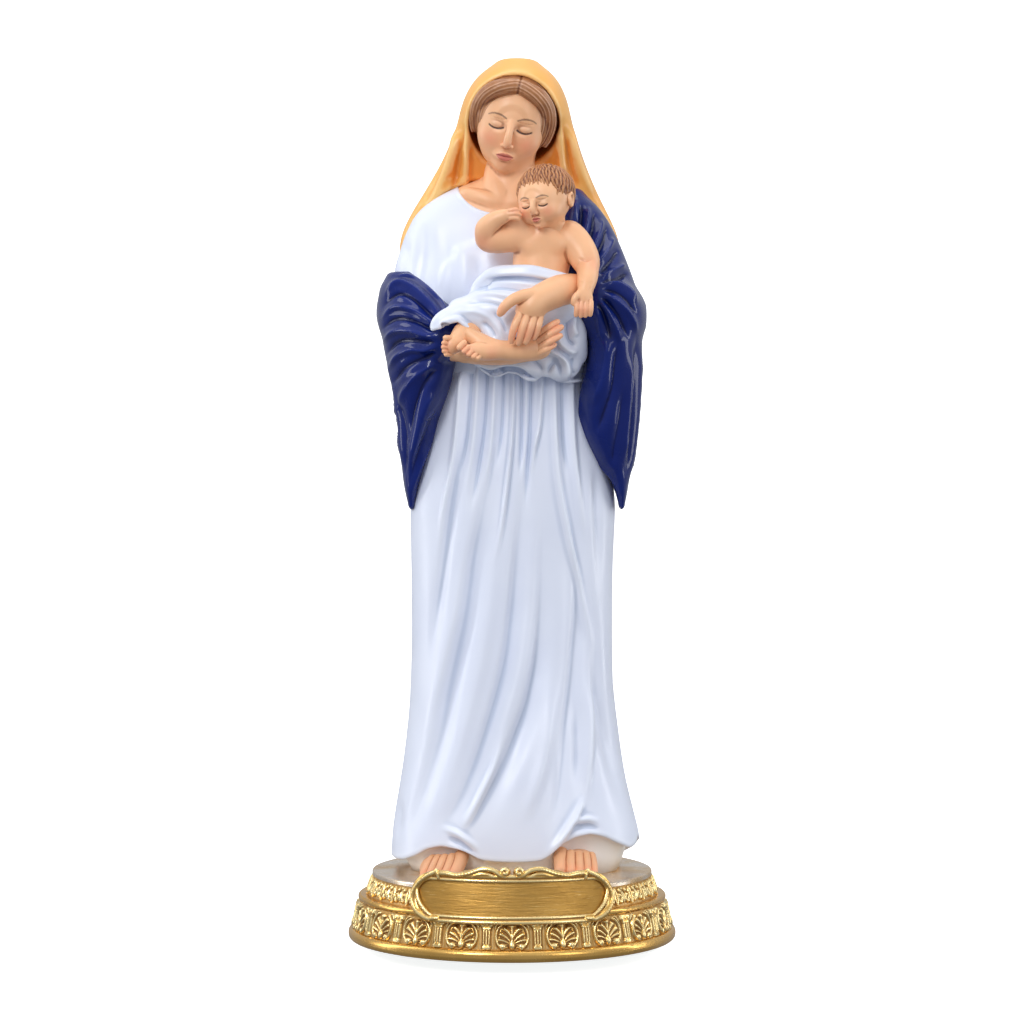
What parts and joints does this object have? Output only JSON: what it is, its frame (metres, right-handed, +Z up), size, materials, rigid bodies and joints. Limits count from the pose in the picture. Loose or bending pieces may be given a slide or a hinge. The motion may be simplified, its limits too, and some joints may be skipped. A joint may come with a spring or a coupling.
{
  "type": "madonna statue",
  "caption": "Painted devotional statue of a standing veiled mother holding a swaddled infant, on a round two-tier gilt base with leaf bands and a blank name plate.",
  "frame": {"origin": "centre of the underside of the felt pad, on the surface the statue stands on", "axes": "+Z up along the statue's height, the figure faces -Y, +X is the mother's left"},
  "size_m": [0.112, 0.112, 0.3],
  "materials": {
    "gold_relief": "antique gold paint over resin relief, rubbed brighter on the high points",
    "gold_plain": "satin metallic gold paint over resin",
    "gold_plate": "darker brushed gold paint with fine horizontal brush marks",
    "white_enamel": "satin white paint over resin",
    "blue_enamel": "high-gloss dark blue enamel over resin",
    "veil_paint": "satin amber-yellow paint over resin",
    "flesh_paint": "satin flesh paint over resin, with rose tinting",
    "brown_hair": "brown paint over modelled strands",
    "auburn_hair": "auburn paint over modelled curls",
    "felt": "black felt",
    "steel": "plain steel rod"
  },
  "bodies": {
    "root": {"locating_rod": "steel", "felt_pad": "felt", "base_foot": "gold_plain", "base_body": "gold_plain", "waist_bead": "gold_plain", "base_slab": "gold_plain", "lower_palmettes": "gold_relief", "lower_darts": "gold_relief", "upper_leaves": "gold_relief", "nameplate_panel": "gold_plate", "nameplate_frame": "gold_relief", "head": "flesh_paint", "hair": "brown_hair", "infant_head": "flesh_paint", "infant_hair": "auburn_hair", "infant_torso": "flesh_paint", "infant_right_arm": "flesh_paint", "infant_left_arm": "flesh_paint", "infant_right_leg": "flesh_paint", "infant_left_leg": "flesh_paint", "left_hand": "flesh_paint", "right_hand": "flesh_paint", "right_foot": "flesh_paint", "left_foot": "flesh_paint", "swaddling_cloth": "white_enamel", "mantle_right_sleeve": "blue_enamel", "mantle_left_sleeve": "blue_enamel", "waist_overfold": "white_enamel", "robe_bodice": "white_enamel", "robe_skirt": "white_enamel", "mantle_back": "blue_enamel", "veil": "veil_paint"}
  },
  "joints": []
}
